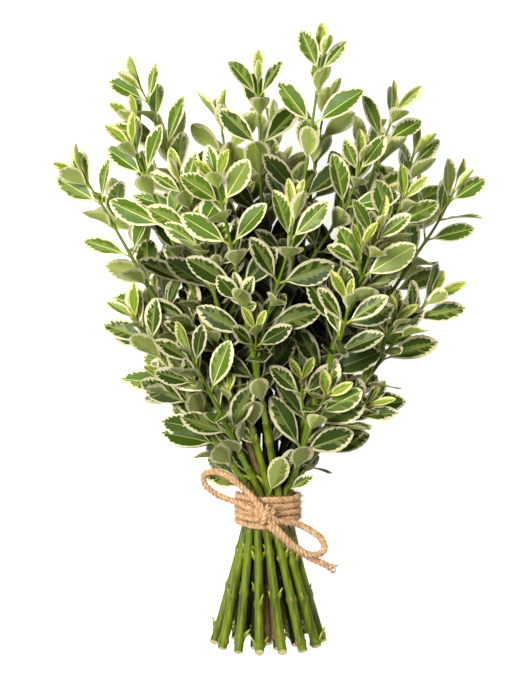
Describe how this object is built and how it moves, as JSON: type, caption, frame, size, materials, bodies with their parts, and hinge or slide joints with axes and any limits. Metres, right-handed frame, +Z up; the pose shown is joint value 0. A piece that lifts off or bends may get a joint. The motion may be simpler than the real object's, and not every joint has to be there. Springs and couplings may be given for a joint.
{
  "type": "tied bunch of cut variegated euonymus",
  "caption": "Hand-tied bunch of cut variegated euonymus shoots with cream-edged leaves, bare green cut stems and a jute twine bow, lying on its back.",
  "frame": {"origin": "on the floor under the middle of the bunch as it lies: centre of the bounding box in X and Y, lowest point in Z", "axes": "+Y from the cut feet of the stems to the leafy tips, +Z up from the floor, out of the side with the bow, +X to the right as seen from above with the tips away"},
  "size_m": [0.3376, 0.4992, 0.2218],
  "materials": {
    "green_bark": "smooth green bark with pale cut ends",
    "variegated_leaf": "leathery leaves, dark green with cream margins",
    "jute_twine": "rough three-ply jute"
  },
  "bodies": {
    "root": {"leaves_back_far_left": "variegated_leaf", "leaves_back_far_right": "variegated_leaf", "leaves_back_inner_left": "variegated_leaf", "leaves_back_inner_right": "variegated_leaf", "leaves_back_left": "variegated_leaf", "leaves_back_low_left": "variegated_leaf", "leaves_back_low_right": "variegated_leaf", "leaves_back_middle": "variegated_leaf", "leaves_back_right": "variegated_leaf", "leaves_far_left": "variegated_leaf", "leaves_far_right": "variegated_leaf", "leaves_foot_left": "variegated_leaf", "leaves_foot_right": "variegated_leaf", "leaves_front_low_left": "variegated_leaf", "leaves_front_low_right": "variegated_leaf", "leaves_front_middle": "variegated_leaf", "leaves_front_right": "variegated_leaf", "leaves_inner_left": "variegated_leaf", "leaves_inner_right": "variegated_leaf", "leaves_low_left": "variegated_leaf", "leaves_low_right": "variegated_leaf", "leaves_tall_middle": "variegated_leaf", "leaves_top_left": "variegated_leaf", "leaves_top_middle": "variegated_leaf", "leaves_top_right": "variegated_leaf", "leaves_upper_left": "variegated_leaf", "leaves_upper_right": "variegated_leaf", "stem_back_far_left": "green_bark", "stem_back_far_right": "green_bark", "stem_back_inner_left": "green_bark", "stem_back_inner_right": "green_bark", "stem_back_left": "green_bark", "stem_back_low_left": "green_bark", "stem_back_low_right": "green_bark", "stem_back_middle": "green_bark", "stem_back_right": "green_bark", "stem_far_left": "green_bark", "stem_far_right": "green_bark", "stem_foot_left": "green_bark", "stem_foot_right": "green_bark", "stem_front_low_left": "green_bark", "stem_front_low_right": "green_bark", "stem_front_middle": "green_bark", "stem_front_right": "green_bark", "stem_inner_left": "green_bark", "stem_inner_right": "green_bark", "stem_low_left": "green_bark", "stem_low_right": "green_bark", "stem_tall_middle": "green_bark", "stem_top_left": "green_bark", "stem_top_middle": "green_bark", "stem_top_right": "green_bark", "stem_upper_left": "green_bark", "stem_upper_right": "green_bark", "twine_knot": "jute_twine", "twine_loop_left": "jute_twine", "twine_loop_right": "jute_twine", "twine_tail": "jute_twine", "twine_wrap": "jute_twine"}
  },
  "joints": []
}
